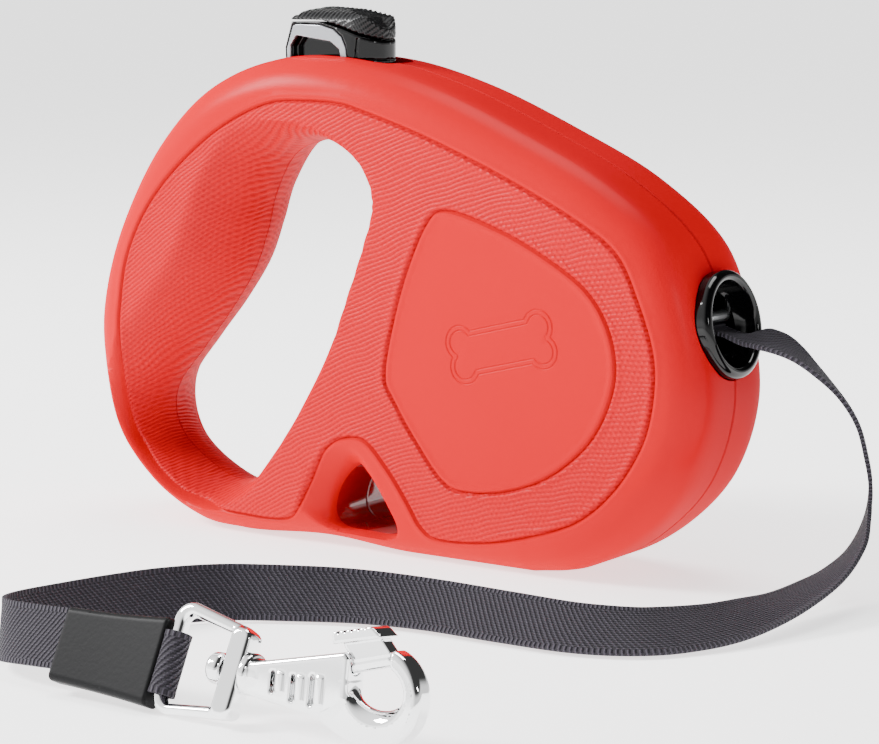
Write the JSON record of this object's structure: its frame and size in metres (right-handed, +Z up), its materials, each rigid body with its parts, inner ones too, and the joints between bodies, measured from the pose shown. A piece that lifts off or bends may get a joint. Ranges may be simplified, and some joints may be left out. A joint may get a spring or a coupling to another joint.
{
  "type": "retractable leash",
  "caption": "Retractable tape leash with a red two-part housing, hand hole, brake button, tape nozzle and a chrome swivel snap hook, standing on its base.",
  "frame": {"origin": "centre of the bounding box of the leash without its free tape and hook, at the level it stands on", "axes": "+X towards the tape nozzle, +Z up, -Y is the side with the free tape in front of it"},
  "size_m": [0.2219, 0.1849, 0.1364],
  "materials": {
    "red_plastic": "satin moulded plastic with a fine grain",
    "black_gloss": "polished black",
    "black_matt": "knurled matt black",
    "silver_plastic": "painted silver",
    "grey_plastic": "plain moulded grey",
    "webbing": "charcoal twill webbing with ribbed edges",
    "sleeve_rubber": "matt black",
    "steel": "zinc plated",
    "chrome": "polished chrome over a casting"
  },
  "bodies": {
    "housing": {"housing_right": "red_plastic", "housing_left": "red_plastic", "badge_right": "red_plastic", "badge_left": "red_plastic", "housing_screw_1": "steel", "housing_screw_2": "steel", "housing_screw_3": "steel", "housing_screw_4": "steel", "housing_screw_5": "steel", "nozzle_ring": "black_gloss", "guide_pin": "steel", "tape_feed": "webbing", "axle_pin": "steel", "tape_free": "webbing", "sleeve": "sleeve_rubber", "tape_loop": "webbing"},
    "spool": {"spool_drum": "grey_plastic", "spool_flange": "grey_plastic", "tape_roll": "webbing", "spring_cup": "grey_plastic", "power_spring": "steel"},
    "brake": {"brake_carrier": "black_matt", "brake_shoe": "grey_plastic", "return_spring": "steel"},
    "button": {"brake_button": "black_gloss", "button_cap": "black_matt", "button_frame_right": "silver_plastic", "button_frame_left": "silver_plastic"},
    "ring": {"ring": "chrome"},
    "hook": {"hook_body": "chrome", "swivel_rivet": "chrome", "gate_spring": "steel"},
    "gate": {"gate_bolt": "chrome"}
  },
  "joints": [
    {"name": "spool_spin", "type": "hinge", "parent": "housing", "child": "spool", "pos_m": [0.038, 0, 0.054], "axis": [0, 1, 0], "continuous": true},
    {"name": "brake_press", "type": "slide", "parent": "housing", "child": "brake", "axis": [0, 0, -1], "range_m": [0, 0.0032], "stiffness_N_per_m": 600, "springref_m": -0.004, "deforming": ["return_spring"]},
    {"name": "lock_slide", "type": "slide", "parent": "brake", "child": "button", "axis": [1, 0, 0], "range_m": [0, 0.0026]},
    {"name": "ring_swing", "type": "hinge", "parent": "housing", "child": "ring", "pos_m": [0.0528, -0.158, 0.01115], "axis": [0, -0.454, -0.891], "range_deg": [0, 70]},
    {"name": "hook_swivel", "type": "hinge", "parent": "ring", "child": "hook", "pos_m": [0.0726, -0.15845, 0.01026], "axis": [1, 0, 0], "continuous": true},
    {"name": "gate_slide", "type": "slide", "parent": "hook", "child": "gate", "axis": [-0.9613, -0.0431, -0.2722], "range_m": [0, 0.0065], "stiffness_N_per_m": 250, "springref_m": -0.003, "deforming": ["gate_spring"]}
  ]
}
